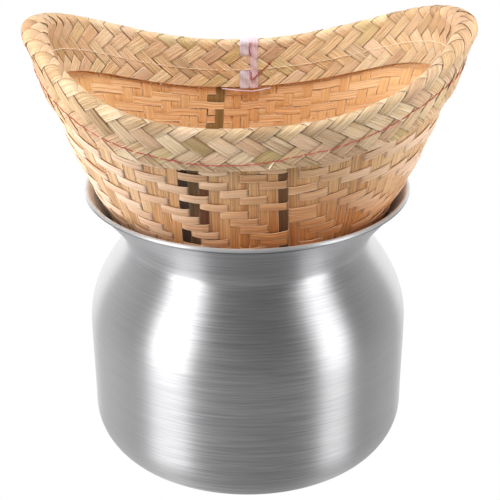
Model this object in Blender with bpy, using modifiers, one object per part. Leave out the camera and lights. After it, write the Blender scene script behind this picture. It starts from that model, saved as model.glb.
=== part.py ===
"""A sticky rice steamer: a spun aluminium pot, and a woven bamboo basket that hangs in its neck.

Metres, +Z up. The origin is the middle of the pot's flat base. The front is -Y, and the
basket's two raised tips point along -X and +X.
"""

import math

import bpy
from mathutils import Vector

# Clearances
GAP = 0.0003
LAYER_GAP = 0.0005
SEAT_CLEARANCE = 0.0005

# Pot: one sheet of aluminium, radii and heights of its outside
POT_SHEET = 0.001
POT_HEIGHT = 0.205
POT_RIM_RADIUS = 0.115
POT_BEAD_RADIUS = 0.0016
BEAD_START = 150
BEAD_END = -90
POT_FLARE_REACH = 0.027
POT_NECK_RADIUS = POT_RIM_RADIUS - POT_FLARE_REACH
POT_NECK_DROP = 0.038
POT_NECK_FILLET = 0.009
POT_BELLY_RADIUS = 0.1142
POT_BELLY_HEIGHT = 0.103
POT_WALL_FOOT_RADIUS = 0.113
POT_CORNER_RADIUS = 0.0365
POT_SHOULDER_PULL = 0.034
POT_FLARE_LEAN = math.radians(36)
POT_STEPS = 48
CORNER_POINTS = 6
SHOULDER_POINTS = 7
FLARE_POINTS = 5
BEAD_POINTS = 5

# Basket: outside of its woven wall, made to fit the pot's neck
BASE_TO_NECK = 0.625
BASE_HALF_SIDE = BASE_TO_NECK * POT_NECK_RADIUS
BASE_HEIGHT = 0.105
TIP_REACH = 0.059
SIDE_REACH = 0.0063
RIM_HALF_LENGTH = POT_NECK_RADIUS + TIP_REACH
RIM_HALF_WIDTH = POT_NECK_RADIUS + SIDE_REACH
RIM_LOW_HEIGHT = 0.280
RIM_TIP_RISE = 0.0475
RIM_RISE_POWER = 2.26
RIM_LEAN_RIGHT = 0.0022
RIM_TWIST = 0.006
PLAN_POWER = 4.1
PLAN_ROUNDING = 0.65
FAN_WARP = 0.23
SIDE_SPREAD = 0.10
WALL_BULGE = 0.62
LOWER_BULGE = 0.25
NECK_BLEND = 0.008
FACETS_PER_SIDE = 11
STRIPS_PER_FACET = 2

# Bamboo strips
WEAVER_LAYER = 0.0010
STRIP_THICKNESS = 0.0008
STRIP_GAP = 0.0004
BASE_BAND = 0.002

# Folded plait on the rim: drops are measured down from its crown
PLAIT_THICKNESS = 0.0016
CROWN_RISE = 0.0050
OUTER_LEAF_DROP = 0.028
INNER_LEAF_DROP = 0.035
STITCH_DROP = 0.0225
TIP_OUTER_EXTRA = 0.016
TIP_INNER_EXTRA = 0.010
TIP_STITCH_EXTRA = 0.009
TIP_CROWN_EXTRA = 0.006
TIP_FULLNESS = 0.0075
TIP_LEAF_FULLNESS = 0.0025
TIP_SHARPNESS = 8
LEAF_SHARPNESS = 2.5

# Threads and the tape tie at the middle of the back
THREAD_RADIUS = 0.0005
TAPE_THICKNESS = 0.0004
TAPE_OVERHANG = 0.0012
TICK_STROKE = 0.004
TICK_SHARE = 0.28
TICK_CLEARANCE = 0.0015

SIDES = 4
FACETS = SIDES * FACETS_PER_SIDE
STRIPS_PER_SIDE = FACETS_PER_SIDE * STRIPS_PER_FACET
BACK_SIDE = 2
BACK_FACET = BACK_SIDE * FACETS_PER_SIDE + FACETS_PER_SIDE // 2
NECK_HEIGHT = POT_HEIGHT - POT_NECK_DROP
WALL_DEPTH = WEAVER_LAYER + LAYER_GAP + STRIP_THICKNESS

# Dark strips, counted to the right of the middle of their side as seen from the front
DARK_FRONT_STRIPS = (-7, -6, -5, 4)
DARK_BACK_STRIPS = (-5, -4)

COLOURS = {
    "aluminium": ((0.78, 0.78, 0.78), 0.28, 1.0),
    "bamboo_pale": ((0.80, 0.55, 0.32), 0.55, 0.0),
    "bamboo_dark": ((0.10, 0.08, 0.05), 0.50, 0.0),
    "plait_straw": ((0.78, 0.66, 0.45), 0.60, 0.0),
    "thread_red": ((0.62, 0.12, 0.12), 0.70, 0.0),
    "thread_pale": ((0.88, 0.80, 0.72), 0.70, 0.0),
    "tape_pink": ((0.88, 0.74, 0.78), 0.30, 0.0),
}


# Scene, materials and objects
for old in list(bpy.data.objects):
    bpy.data.objects.remove(old, do_unlink=True)

steamer = bpy.data.collections.new("sticky_rice_steamer")
bpy.context.scene.collection.children.link(steamer)
basket_axis = bpy.data.objects.new("basket_lift_axis", None)
steamer.objects.link(basket_axis)


def make_material(name):
    colour, roughness, metallic = COLOURS[name]
    material = bpy.data.materials.new(name)
    material.use_nodes = True
    shader = material.node_tree.nodes["Principled BSDF"]
    shader.inputs["Base Color"].default_value = (*colour, 1)
    shader.inputs["Roughness"].default_value = roughness
    shader.inputs["Metallic"].default_value = metallic
    material.diffuse_color = (*colour, 1)
    return material


MATERIALS = {name: make_material(name) for name in COLOURS}


def add_part(name, data, material, in_basket=True):
    """Puts a mesh or curve in the scene as one part."""
    part = bpy.data.objects.new(name, data)
    steamer.objects.link(part)
    data.materials.append(MATERIALS[material])
    if in_basket:
        part.parent = basket_axis
    return part


def add_sheet(name, rows, thickness, offset, material, joined=None):
    """One part from an open sheet, given as rows of points, with a wall thickness.

    Its outward side is on the left of the rows, as they climb from one to the next.
    Where joined is given, each pair of columns is a strip, and neighbouring strips hold
    together only in those bands between rows.
    """
    across = len(rows[0])
    faces = []
    for r in range(len(rows) - 1):
        for c in range(across - 1):
            between_strips = joined is not None and c % 2 == 1
            if between_strips and r not in joined:
                continue
            a = r * across + c
            b = a + 1
            d = a + across
            faces.append((a, b, d + 1))
            faces.append((a, d + 1, d))
    mesh = bpy.data.meshes.new(name)
    mesh.from_pydata([point for row in rows for point in row], [], faces)
    part = add_part(name, mesh, material)
    if (Vector(rows[0][0]) - Vector(rows[0][-1])).length < 1e-6:
        weld = part.modifiers.new("join", "WELD")
        weld.merge_threshold = 1e-5
    wall = part.modifiers.new("wall", "SOLIDIFY")
    wall.thickness = thickness
    wall.offset = offset
    wall.use_even_offset = True
    return part


def add_thread(name, points, radius, material):
    """A round thread along points, with closed ends."""
    curve = bpy.data.curves.new(name, "CURVE")
    curve.dimensions = "3D"
    curve.bevel_depth = radius
    curve.bevel_resolution = 1
    curve.use_fill_caps = True
    line = curve.splines.new("POLY")
    line.points.add(len(points) - 1)
    for slot, point in zip(line.points, points):
        slot.co = (*point, 1)
    return add_part(name, curve, material)


# Pot
def arc(centre, radius, start, end, count):
    """Points (radius, height) on an arc, both ends included, angles in degrees."""
    turns = [math.radians(start + (end - start) * i / count) for i in range(count + 1)]
    return [(centre[0] + radius * math.cos(t), centre[1] + radius * math.sin(t)) for t in turns]


def bezier(a, b, c, d, count):
    """Points on a cubic curve, without its first one."""
    points = []
    for i in range(1, count + 1):
        t = i / count
        s = 1 - t
        weights = (s**3, 3 * s * s * t, 3 * s * t * t, t**3)
        points.append(tuple(sum(w * p[n] for w, p in zip(weights, (a, b, c, d))) for n in (0, 1)))
    return points


def pot_side():
    """The outside of the pot from the edge of its flat base up to the bead, as (radius, height)."""
    foot = POT_WALL_FOOT_RADIUS - POT_CORNER_RADIUS
    corner = arc((foot, POT_CORNER_RADIUS), POT_CORNER_RADIUS, -90, 0, CORNER_POINTS)
    belly = (POT_BELLY_RADIUS, POT_BELLY_HEIGHT)
    rise = POT_BELLY_HEIGHT - POT_CORNER_RADIUS
    wall = bezier(corner[-1], (corner[-1][0], corner[-1][1] + rise / 3),
                  (belly[0], belly[1] - rise / 3), belly, 1)
    neck = (POT_NECK_RADIUS, NECK_HEIGHT)
    shoulder = bezier(belly, (belly[0], belly[1] + POT_SHOULDER_PULL),
                      (neck[0], neck[1] - POT_NECK_FILLET), neck, SHOULDER_POINTS)
    lip = (POT_RIM_RADIUS - POT_BEAD_RADIUS, POT_HEIGHT - POT_BEAD_RADIUS)
    reach = (POT_NECK_DROP - POT_NECK_FILLET) / 2
    lean = (lip[0] - reach * math.sin(POT_FLARE_LEAN), lip[1] - reach * math.cos(POT_FLARE_LEAN))
    flare = bezier(neck, (neck[0], neck[1] + POT_NECK_FILLET), lean, lip, FLARE_POINTS)
    return corner + wall + shoulder + flare


def pot_inside(side):
    """The inside of the pot's sheet, one sheet thickness in from the outside."""
    inside = []
    for i, (radius, height) in enumerate(side):
        before = side[max(i - 1, 0)]
        after = side[min(i + 1, len(side) - 1)]
        run = Vector((after[0] - before[0], after[1] - before[1])).normalized()
        inside.append((radius - POT_SHEET * run.y, height + POT_SHEET * run.x))
    inside[0] = (side[0][0], POT_SHEET)
    return inside


def add_pot():
    side = pot_side()
    inside = pot_inside(side)
    bead_centre = (POT_RIM_RADIUS - POT_BEAD_RADIUS, POT_HEIGHT - POT_BEAD_RADIUS)
    bead = arc(bead_centre, POT_BEAD_RADIUS, BEAD_START, BEAD_END, BEAD_POINTS)
    outline = [(0.0, POT_SHEET)] + inside[:-1] + bead + side[-2::-1] + [(0.0, 0.0)]
    mesh = bpy.data.meshes.new("pot_body")
    count = len(outline)
    mesh.from_pydata([(r, 0, z) for r, z in outline], [(i, i + 1) for i in range(count - 1)], [])
    pot = add_part("pot_body", mesh, "aluminium", in_basket=False)
    screw = pot.modifiers.new("spin", "SCREW")
    screw.steps = POT_STEPS
    screw.render_steps = POT_STEPS
    screw.use_merge_vertices = True
    screw.merge_threshold = 0.00005
    return pot


# Shape of the basket's wall
def corner_angle(index):
    """The angle round the basket of a facet's corner, 0 at the front and positive to the right.

    The strips at the middle of a side are a little wider than those at the base's corners.
    """
    angle = math.radians(-45) + index * math.radians(360) / FACETS
    return angle + SIDE_SPREAD * math.sin(SIDES * angle) / SIDES


def fan(angle):
    """Where an upright that starts at angle in the neck arrives on the rim."""
    return angle - FAN_WARP * math.sin(2 * angle)


def tipness(angle, sharpness=TIP_SHARPNESS):
    """0 at the middles of the rim's sides and 1 at its two tips."""
    return abs(math.sin(fan(angle))) ** sharpness


def rim_point(angle):
    """The top edge of the wall in plan."""
    turn = fan(angle)
    across = max(1 - abs(math.sin(turn)) ** PLAN_POWER, 0) ** PLAN_ROUNDING
    along = RIM_LEAN_RIGHT + RIM_HALF_LENGTH * math.sin(turn)
    return Vector((along, -RIM_HALF_WIDTH * math.copysign(across, math.cos(turn))))


def crown_height(angle):
    """The rim rises to its tips, and the hand-made one stands a little higher on the right."""
    turn = fan(angle)
    twist = RIM_TWIST * math.sin(turn) * abs(math.cos(turn))
    return RIM_LOW_HEIGHT + RIM_TIP_RISE * tipness(angle, RIM_RISE_POWER) + twist


def edge_height(angle):
    return crown_height(angle) - CROWN_RISE - TIP_CROWN_EXTRA * tipness(angle)


def seat_point(angle):
    """The wall at the height of the pot's neck, just inside the sheet that it rests on.

    Where the wall leans, it touches the neck's rounding a little higher up.
    """
    rise = edge_height(angle) - NECK_HEIGHT
    lean = math.atan2((1 + WALL_BULGE) * (rim_point(angle).length - POT_NECK_RADIUS), rise)
    rounding = POT_NECK_FILLET + POT_SHEET + SEAT_CLEARANCE
    radius = POT_NECK_RADIUS + POT_NECK_FILLET - rounding / math.cos(lean)
    return Vector((radius * math.sin(angle), -radius * math.cos(angle)))


def base_point(angle):
    """The square that the wall stands on."""
    quarter = math.radians(90)
    side = math.floor((angle + quarter / 2) / quarter)
    along = (angle - side * quarter) / (quarter / 2) * BASE_HALF_SIDE
    turned = side * quarter
    x = along * math.cos(turned) + BASE_HALF_SIDE * math.sin(turned)
    y = along * math.sin(turned) - BASE_HALF_SIDE * math.cos(turned)
    return Vector((x, y))


def bulged(share, bulge):
    return share + bulge * share * (1 - share)


def wall_point(angle, height):
    """The outside of the wall at an angle and a height."""
    seat = seat_point(angle)
    if height < NECK_HEIGHT:
        share = (height - BASE_HEIGHT) / (NECK_HEIGHT - BASE_HEIGHT)
        plan = base_point(angle).lerp(seat, bulged(share, LOWER_BULGE))
    else:
        share = (height - NECK_HEIGHT) / (edge_height(angle) - NECK_HEIGHT)
        plan = seat + (rim_point(angle) - seat) * bulged(share, WALL_BULGE)
    return Vector((plan.x, plan.y, height))


def leaf_heights(angle):
    """Heights of the plait's inner edge, its outer edge and its line of stitches."""
    crown = crown_height(angle)
    tip = tipness(angle, LEAF_SHARPNESS)
    inner = crown - INNER_LEAF_DROP - TIP_INNER_EXTRA * tip
    outer = crown - OUTER_LEAF_DROP - TIP_OUTER_EXTRA * tip
    stitch = crown - STITCH_DROP - TIP_STITCH_EXTRA * tip
    return inner, outer, stitch


def wall_heights(angle):
    """Heights where the wall and its strips have a row of corners, from the base to the top edge."""
    middle = (BASE_HEIGHT + NECK_HEIGHT) / 2
    inner = leaf_heights(angle)[0]
    third = (inner - NECK_HEIGHT) / 3
    return [BASE_HEIGHT, middle, NECK_HEIGHT, NECK_HEIGHT + third, NECK_HEIGHT + 2 * third, inner, edge_height(angle)]


def outward(angle, height):
    """The wall's outward direction."""
    small = 1e-4
    step = 0.001
    low = max(min(height, edge_height(angle)) - step, BASE_HEIGHT)
    up = wall_point(angle, low + step) - wall_point(angle, low)
    if abs(height - NECK_HEIGHT) < small:
        up = wall_point(angle, height + NECK_BLEND) - wall_point(angle, height - NECK_BLEND)
    along = wall_point(angle + small, height) - wall_point(angle - small, height)
    return along.cross(up).normalized()


def corner_at(index, row, depth):
    """A corner of the faceted wall, moved in by depth along the wall's own direction."""
    angle = corner_angle(index)
    height = wall_heights(angle)[row]
    point = wall_point(angle, height)
    direction = outward(angle, height)
    if row == 0:
        point = point * ((BASE_HALF_SIDE - depth) / BASE_HALF_SIDE)
        point.z = height
        return point
    return point - direction * depth


# Woven wall, uprights and base
ROWS = range(len(wall_heights(0)))
EDGE_ROW = len(ROWS) - 1
LEAF_ROW = EDGE_ROW - 1


def strip_edge(number, row, depth):
    """Where two neighbouring strips meet. A facet of the wall is as wide as a few strips."""
    facet, place = divmod(number, STRIPS_PER_FACET)
    left = corner_at(facet, row, depth)
    if place == 0:
        return left
    return left.lerp(corner_at(facet + 1, row, depth), place / STRIPS_PER_FACET)


def add_weavers():
    rows = [[strip_edge(n, row, 0) for n in range(SIDES * STRIPS_PER_SIDE + 1)] for row in ROWS]
    return add_sheet("wall_weavers", rows, WEAVER_LAYER, -1, "bamboo_pale")


def upright_columns(strip):
    """The left and right edges of one upright's outer face, row by row.

    Strips are counted round the basket from the front's left corner.
    """
    columns = []
    place = strip % STRIPS_PER_SIDE
    for row in ROWS:
        left, right = (strip_edge(strip + side, row, WEAVER_LAYER + LAYER_GAP) for side in (0, 1))
        along = (right - left).normalized()
        square = max(1 - (left.z - BASE_HEIGHT) / (NECK_HEIGHT - BASE_HEIGHT), 0) ** 0.5
        at_corner = STRIP_GAP / 2 + STRIP_THICKNESS * square
        left += along * (at_corner if place == 0 else STRIP_GAP / 2)
        right -= along * (at_corner if place == STRIPS_PER_SIDE - 1 else STRIP_GAP / 2)
        columns.append((left, right))
    return columns


def strip_number(side, count):
    """A strip's number from its place on a side, where the front view has 1 just right of the middle."""
    middle = STRIPS_PER_SIDE // 2
    place = middle + count if count < 0 else middle + count - 1
    if side == BACK_SIDE:
        place = STRIPS_PER_SIDE - 1 - place
    return side * STRIPS_PER_SIDE + place


def add_uprights():
    """Each dark strip is a part, and each run of pale ones, which hold together under the plait."""
    dark = {strip_number(0, n): f"dark_upright_front_{i + 1}" for i, n in enumerate(DARK_FRONT_STRIPS)}
    dark |= {strip_number(BACK_SIDE, n): f"dark_upright_back_{i + 1}" for i, n in enumerate(DARK_BACK_STRIPS)}
    top_band = {LEAF_ROW}
    for side, place in enumerate(("front", "right", "back", "left")):
        runs = [[]]
        for strip in range(side * STRIPS_PER_SIDE, (side + 1) * STRIPS_PER_SIDE):
            if strip in dark:
                runs.append([])
            else:
                runs[-1].append(strip)
        for number, run in enumerate(run for run in runs if run):
            columns = [upright_columns(strip) for strip in run]
            rows = [[point for strip in columns for point in strip[row]] for row in ROWS]
            name = f"uprights_{place}_{number + 1}"
            add_sheet(name, rows, STRIP_THICKNESS, -1, "bamboo_pale", top_band)
    for strip, name in dark.items():
        add_sheet(name, upright_columns(strip), STRIP_THICKNESS, -1, "bamboo_dark")


def add_base():
    """Two layers of strips that cross, each held together by a band along the wall."""
    reach = BASE_HALF_SIDE - WALL_DEPTH - GAP
    pitch = 2 * reach / STRIPS_PER_SIDE
    lows = [-reach + i * pitch + STRIP_GAP / 2 for i in range(STRIPS_PER_SIDE)]
    edges = [edge for low in lows for edge in (low, low + pitch - STRIP_GAP)]
    ends = [-reach, BASE_BAND - reach, reach - BASE_BAND, reach]
    low = BASE_HEIGHT + STRIP_THICKNESS
    high = low + GAP + STRIP_THICKNESS
    lengthwise = [[(x, y, low) for x in edges] for y in ends]
    crosswise = [[(x, -y, high) for y in edges] for x in ends]
    bands = {0, 2}
    add_sheet("base_strips_lengthwise", lengthwise, STRIP_THICKNESS, -1, "bamboo_pale", bands)
    add_sheet("base_strips_crosswise", crosswise, STRIP_THICKNESS, -1, "bamboo_pale", bands)


# Plait on the rim
CROWN_TURNS = [math.radians(turn) for turn in (0, 45, 90, 135, 180)]
OUTER_STITCH = 1
INNER_STITCH = OUTER_STITCH + len(CROWN_TURNS) + 1


def on_wall(index, height, depth):
    """A point at a facet's corner of the wall's top band, moved in by depth."""
    low, high = wall_heights(corner_angle(index))[LEAF_ROW:]
    share = (height - low) / (high - low)
    return corner_at(index, LEAF_ROW, depth).lerp(corner_at(index, EDGE_ROW, depth), share)


def plait_section(index, lift):
    """The folded plait's section at a facet's corner, lifted off its side towards the wall.

    It runs from the outer leaf's lower edge over the crown to the inner leaf's lower edge.
    """
    angle = corner_angle(index)
    inner, outer, stitch = leaf_heights(angle)
    outside = -GAP - lift
    inside = WALL_DEPTH + GAP + lift
    edge = corner_at(index, EDGE_ROW, WALL_DEPTH / 2)
    upward = (edge - corner_at(index, LEAF_ROW, WALL_DEPTH / 2)).normalized()
    half = WALL_DEPTH / 2 + GAP + TIP_FULLNESS * tipness(angle)
    leg = (crown_height(angle) - edge_height(angle)) - half - PLAIT_THICKNESS
    centre = edge + upward * leg
    across = outward(angle, edge_height(angle)) * (half + lift)
    crown = [centre + across * math.cos(t) + upward * (half + lift) * math.sin(t) for t in CROWN_TURNS]
    proud = outside - TIP_LEAF_FULLNESS * tipness(angle)
    outer_leaf = [on_wall(index, height, proud) for height in (outer, stitch)]
    inner_leaf = [on_wall(index, height, inside) for height in (stitch, outer, inner)]
    return outer_leaf + crown + inner_leaf


def add_plait():
    sections = [plait_section(k, 0) for k in range(FACETS + 1)]
    rows = [list(row) for row in zip(*sections)]
    return add_sheet("rim_plait", rows, PLAIT_THICKNESS, 1, "plait_straw")


# Threads and tie
def on_facet(facet, share, part, lift):
    """A point over the plait's surface, part way across a facet, in plait_section's order."""
    left = plait_section(facet, lift)[part]
    return left.lerp(plait_section(facet + 1, lift)[part], share)


def stitch_route(part):
    """All round the rim, and open at the tie."""
    lift = PLAIT_THICKNESS + THREAD_RADIUS + GAP
    start = BACK_FACET - FACETS
    return [on_facet(start + i, 0, part, lift) for i in range(1, FACETS + 1)]


def add_stitches():
    add_thread("stitch_thread_outer", stitch_route(OUTER_STITCH), THREAD_RADIUS, "thread_red")
    add_thread("stitch_thread_inner", stitch_route(INNER_STITCH), THREAD_RADIUS, "thread_pale")


def tape_sheet(start, end):
    """A band of tape over the plait, from leaf edge to leaf edge, between two shares of the back facet."""
    lift = PLAIT_THICKNESS + GAP
    rows = []
    for part in range(len(plait_section(BACK_FACET, lift))):
        rows.append([on_facet(BACK_FACET, share, part, lift) for share in (start, end)])
    for row, towards in ((0, 1), (-1, -2)):
        for side in (0, 1):
            away = (rows[row][side] - rows[towards][side]).normalized()
            rows[row][side] = rows[row][side] + away * TAPE_OVERHANG
    return rows


def add_tie():
    """Two bands of tape side by side over the rim, and a tick of red thread across them inside."""
    for name, start, end in (("rim_tie_band_left", 0.52, 0.95), ("rim_tie_band_right", 0.05, 0.48)):
        add_sheet(name, tape_sheet(start, end), TAPE_THICKNESS, 1, "tape_pink")
    lift = PLAIT_THICKNESS + GAP + TAPE_THICKNESS + GAP + THREAD_RADIUS
    low = on_facet(BACK_FACET, TICK_SHARE, INNER_STITCH + 1, lift)
    up = (on_facet(BACK_FACET, TICK_SHARE, INNER_STITCH, lift) - low).normalized()
    far = on_facet(BACK_FACET - 1, 1 - TICK_SHARE, INNER_STITCH, lift) - up * TICK_CLEARANCE
    add_thread("rim_tie_thread", [low + up * TICK_STROKE, low, far], THREAD_RADIUS, "thread_red")


def shade():
    for part in steamer.objects:
        if part.type == "MESH":
            part.data.shade_smooth()
            part.data.set_sharp_from_angle(angle=math.radians(40))


add_pot()
add_weavers()
add_uprights()
add_base()
add_plait()
add_stitches()
add_tie()
shade()
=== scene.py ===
# %% [markdown]
# # A sticky rice steamer
# Sticky rice is steamed in a woven bamboo basket that hangs in the neck of a tall aluminium pot.
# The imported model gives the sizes, the joint and the places. This lesson dresses it: a spun metal skin
# on the pot, a basket that is really woven strip by strip, and a braided rim.

import math
import random

import bpy
import numpy as np
from mathutils import Matrix


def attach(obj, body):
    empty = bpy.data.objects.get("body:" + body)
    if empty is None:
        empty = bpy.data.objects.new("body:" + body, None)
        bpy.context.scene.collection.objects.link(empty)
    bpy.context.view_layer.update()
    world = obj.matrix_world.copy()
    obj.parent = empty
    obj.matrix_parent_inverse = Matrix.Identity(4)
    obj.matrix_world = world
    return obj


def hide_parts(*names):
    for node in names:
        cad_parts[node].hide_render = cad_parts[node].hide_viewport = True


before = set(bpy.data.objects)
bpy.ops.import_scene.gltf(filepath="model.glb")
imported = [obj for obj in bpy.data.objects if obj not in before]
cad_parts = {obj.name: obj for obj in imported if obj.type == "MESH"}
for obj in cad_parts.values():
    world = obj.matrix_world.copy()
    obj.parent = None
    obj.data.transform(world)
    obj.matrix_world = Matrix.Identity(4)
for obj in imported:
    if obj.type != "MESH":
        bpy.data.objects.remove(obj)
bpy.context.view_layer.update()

# %% [markdown]
# ## The camera
# The photograph was taken from about 25 degrees above, with a long lens that stands 1.2 m away.
# It leans by a third of a degree, and the steamer sits a little left of the frame's middle.

# %% Camera
CAMERA_DISTANCE = 1.2
CAMERA_ELEVATION = math.radians(24.94)
CAMERA_ROLL = math.radians(-0.3)
CAMERA_TARGET_HEIGHT = 0.1517
CAMERA_LENS = 119.63
CAMERA_SHIFT = 0.005


def add_camera():
    data = bpy.data.cameras.new("camera")
    data.lens = CAMERA_LENS
    data.sensor_width = 36
    data.shift_x = CAMERA_SHIFT
    camera = bpy.data.objects.new("camera", data)
    bpy.context.scene.collection.objects.link(camera)
    back = CAMERA_DISTANCE * math.cos(CAMERA_ELEVATION)
    up = CAMERA_TARGET_HEIGHT + CAMERA_DISTANCE * math.sin(CAMERA_ELEVATION)
    tilt = Matrix.Rotation(math.radians(90) - CAMERA_ELEVATION, 4, "X")
    roll = Matrix.Rotation(CAMERA_ROLL, 4, "Z")
    camera.matrix_world = Matrix.Translation((0, -back, up)) @ tilt @ roll
    bpy.context.scene.camera = camera
    print("the camera stands", round(back, 2), "m in front and", round(up, 2), "m up")


add_camera()

# %% [markdown]
# ## Shader maths as Python
# A finish is a small network of nodes. Wrapping a socket in a class with operators lets the network be
# written as an expression: `0.3 + 0.2 * grain` adds its two Math nodes. One method makes any other node
# from its type, its settings and the values or links of its sockets. The world's light is such a
# network too. Colours are written as a screen shows them, and turned into the numbers that nodes take.

# %% Fields, networks and finishes
class Field:
    """A number or colour that varies over a surface."""

    def __init__(self, network, socket):
        self.network = network
        self.socket = socket

    def math(self, operation, *others):
        return self.network.math(operation, self, *others)

    def __add__(self, other):
        return self.math("ADD", other)

    def __sub__(self, other):
        return self.math("SUBTRACT", other)

    def __rsub__(self, other):
        return self.network.math("SUBTRACT", other, self)

    def __mul__(self, other):
        return self.math("MULTIPLY", other)

    def __pow__(self, other):
        return self.math("POWER", other)

    __radd__ = __add__
    __rmul__ = __mul__


class Network:
    """The nodes of a finish or of the world."""

    def __init__(self, tree):
        self.nodes = tree.nodes
        self.links = tree.links

    def put(self, node, inputs):
        for key, value in inputs.items():
            if isinstance(value, Field):
                self.links.new(value.socket, node.inputs[key])
            else:
                node.inputs[key].default_value = value

    def node(self, kind, settings, inputs, output=0):
        node = self.nodes.new(kind)
        for key, value in settings.items():
            if key == "stops":
                while len(node.color_ramp.elements) < len(value):
                    node.color_ramp.elements.new(0.5)
                for stop, (place, colour) in zip(node.color_ramp.elements, value):
                    stop.position = place
                    stop.color = colour
            else:
                setattr(node, key, value)
        self.put(node, inputs)
        return Field(self, node.outputs[output])

    def math(self, operation, *values):
        return self.node("ShaderNodeMath", {"operation": operation}, dict(enumerate(values)))

    def parts(self, vector):
        split = self.node("ShaderNodeSeparateXYZ", {}, {0: vector}).socket.node
        return [Field(self, output) for output in split.outputs]

    def for_rays(self, ray, others, seen):
        """One shader for rays of a kind, such as the camera's, and another for the rest."""
        kind = self.node("ShaderNodeLightPath", {}, {}, ray)
        return self.node("ShaderNodeMixShader", {}, {0: kind, 1: others, 2: seen})


class Finish(Network):
    """A material whose surface is one Principled BSDF."""

    def __init__(self, name, **constants):
        self.material = bpy.data.materials.new(name)
        self.material.use_nodes = True
        super().__init__(self.material.node_tree)
        self.surface = self.nodes["Principled BSDF"]
        self.put(self.surface, {key.replace("_", " "): value for key, value in constants.items()})

    def attribute(self, name):
        return self.node("ShaderNodeAttribute", {"attribute_name": name}, {}, "Fac")

    def place(self):
        return self.node("ShaderNodeTexCoord", {}, {}, "Object")

    def on_strip(self):
        """How far along and across the strip a point is, in metres, and the strip's own tone."""
        u, v, _ = self.parts(self.node("ShaderNodeUVMap", {}, {}))
        return u, v, self.attribute("tone")

    def noise(self, place, scale=1.0, detail=2.0, roughness=0.5):
        """Noise at a vector, or at three numbers that may each vary."""
        if isinstance(place, tuple):
            place = self.node("ShaderNodeCombineXYZ", {}, dict(enumerate(place)))
        inputs = {"Vector": place, "Scale": scale, "Detail": detail, "Roughness": roughness}
        return self.node("ShaderNodeTexNoise", {}, inputs)

    def ramp(self, factor, *stops):
        return self.node("ShaderNodeValToRGB", {"stops": stops}, {0: factor})

    def mix(self, factor, first, second, blend="MIX"):
        settings = {"data_type": "RGBA", "blend_type": blend}
        return self.node("ShaderNodeMix", settings, {0: factor, 6: first, 7: second}, 2)

    def wash(self, colour, *washes):
        """A colour with others laid over it in turn, each as far as its mask says."""
        for mask, tint in washes:
            colour = self.mix(mask, colour, tint)
        return colour

    def clamped(self, field, low, high):
        """Field stretched so that low becomes 0 and high becomes 1, and cut off outside."""
        return self.node("ShaderNodeMapRange", {"clamp": True}, {0: field, 1: low, 2: high})

    def dress(self, colour, roughness, height, depth):
        normal = self.node("ShaderNodeBump", {}, {"Strength": 1.0, "Distance": depth, "Height": height})
        self.put(self.surface, {"Base Color": colour, "Roughness": roughness, "Normal": normal})
        print("finish:", self.material.name)


def rgb(red, green, blue):
    """A screen colour, 0 to 255 a channel, as the linear values that nodes take."""
    return tuple(((c / 255 + 0.055) / 1.055) ** 2.4 for c in (red, green, blue)) + (1.0,)


WHITE = rgb(255, 255, 255)
print("a pale strip is", [round(value, 2) for value in rgb(226, 186, 146)])

# %% [markdown]
# ## The shape of the rim
# The basket grows from a small square base to a boat-shaped rim. The CAD model builds it from a few
# formulas, and the woven strips have to lie in that same wall, so the formulas are written again
# here. They work on whole arrays, because a strip asks for thousands of points at once.
# Angles go round the basket from the front to the right, and heights are above the pot's base.

# %% Rim
RIM_HALF_LENGTH = 0.1470
RIM_HALF_WIDTH = 0.0943
RIM_LOW_HEIGHT = 0.280
RIM_TIP_RISE = 0.0475
RIM_RISE_POWER = 2.26
RIM_LEAN_RIGHT = 0.0022
RIM_TWIST = 0.006
PLAN_POWER = 4.1
PLAN_ROUNDING = 0.65
FAN_WARP = 0.23
CROWN_RISE = 0.0050
TIP_CROWN_EXTRA = 0.006
TIP_SHARPNESS = 8


def fan(angle):
    """The uprights that fan out from the neck crowd towards the tips."""
    return angle - FAN_WARP * np.sin(2 * angle)


def tipness(angle, sharpness=TIP_SHARPNESS):
    """1 at the two raised tips, 0 in front and behind."""
    return np.abs(np.sin(fan(angle))) ** sharpness


def rim_plan(angle):
    turn = fan(angle)
    across = np.clip(1 - np.abs(np.sin(turn)) ** PLAN_POWER, 0, None) ** PLAN_ROUNDING
    along = RIM_LEAN_RIGHT + RIM_HALF_LENGTH * np.sin(turn)
    return np.stack([along, -RIM_HALF_WIDTH * np.copysign(across, np.cos(turn))], -1)


def crown_height(angle):
    """The top of the braid."""
    turn = fan(angle)
    twist = RIM_TWIST * np.sin(turn) * np.abs(np.cos(turn))
    return RIM_LOW_HEIGHT + RIM_TIP_RISE * tipness(angle, RIM_RISE_POWER) + twist


def edge_height(angle):
    """The wall's upper edge, inside the braid."""
    return crown_height(angle) - CROWN_RISE - TIP_CROWN_EXTRA * tipness(angle)


print("the crown's lowest and highest points:", RIM_LOW_HEIGHT, round(RIM_LOW_HEIGHT + RIM_TIP_RISE, 4))

# %% [markdown]
# ## The shape of the wall
# The wall stands on a square base and runs up to the round neck of the pot, where it rests. From there
# it swings out to the rim in a shallow bulge.

# %% Wall
BASE_HALF_SIDE = 0.055
BASE_HEIGHT = 0.105
WALL_BULGE = 0.62
LOWER_BULGE = 0.25
NECK_HEIGHT = 0.167
NECK_RADIUS = 0.088
NECK_FILLET = 0.009
NECK_ROUNDING = 0.0105
WALL_MIDDLE = 0.00115
TURN_STEP = 0.001
CLIMB_STEP = 0.004


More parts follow.
